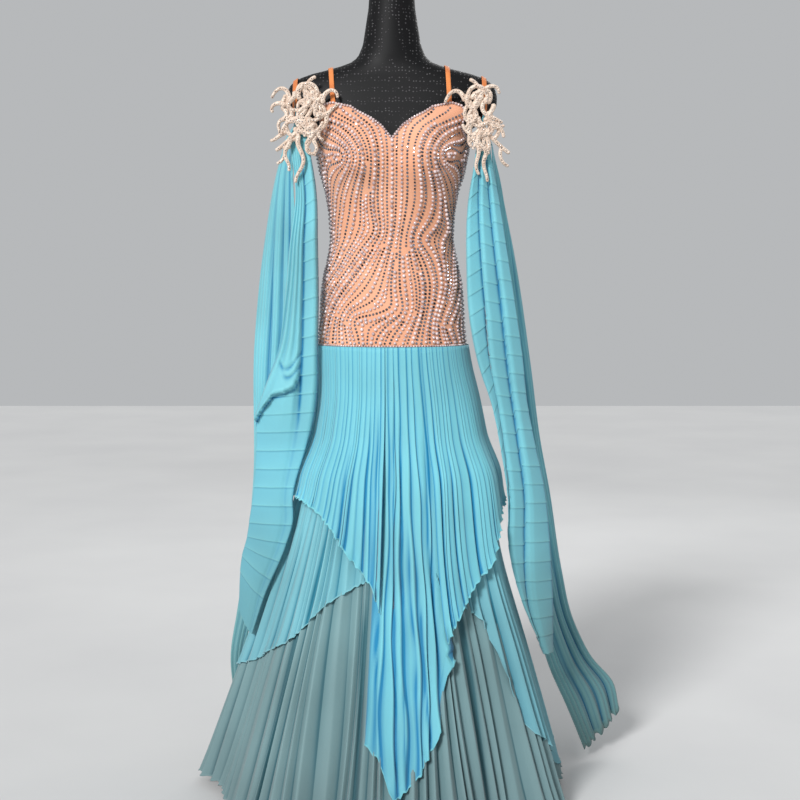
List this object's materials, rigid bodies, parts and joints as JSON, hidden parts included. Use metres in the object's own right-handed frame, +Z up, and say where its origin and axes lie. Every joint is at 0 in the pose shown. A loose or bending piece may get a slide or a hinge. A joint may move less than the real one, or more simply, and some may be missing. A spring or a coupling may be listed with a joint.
{
  "type": "ballroom dance dress on a dress form",
  "caption": "Beaded nude bodice with narrow straps, pleated layered chiffon skirt and float sleeves on a limbless dress form with a round stand.",
  "frame": {"origin": "centre of the underside of the stand's base, on the floor", "axes": "+Z up, -Y the way the dress faces, +X the picture's right"},
  "size_m": [0.9016, 0.7586, 1.617],
  "materials": {
    "stand_metal": "satin black",
    "form_black": "matt black shell with small dark stones",
    "nude_stretch": "nude stretch covered in pearls and crystals",
    "nude_elastic": "nude elastic",
    "stoned_motif": "white corded lace with pearls",
    "blue_chiffon": "pleated sky blue chiffon",
    "pale_chiffon": "pleated single layer chiffon"
  },
  "bodies": {
    "root": {"stand_base": "stand_metal", "stand_pole": "stand_metal", "form_torso": "form_black", "bodice_front": "nude_stretch", "bodice_back": "nude_stretch", "strap_left": "nude_elastic", "strap_right": "nude_elastic", "armband_left": "nude_elastic", "armband_right": "nude_elastic", "applique_left": "stoned_motif", "applique_right": "stoned_motif", "float_left_back": "pale_chiffon", "float_left_front": "blue_chiffon", "float_right_back": "pale_chiffon", "float_right_front": "blue_chiffon", "skirt_main": "pale_chiffon", "skirt_tier_left": "pale_chiffon", "skirt_tier_right": "pale_chiffon", "skirt_centre_panel": "blue_chiffon", "skirt_overlay_left": "blue_chiffon", "skirt_overlay_right": "blue_chiffon"}
  },
  "joints": []
}
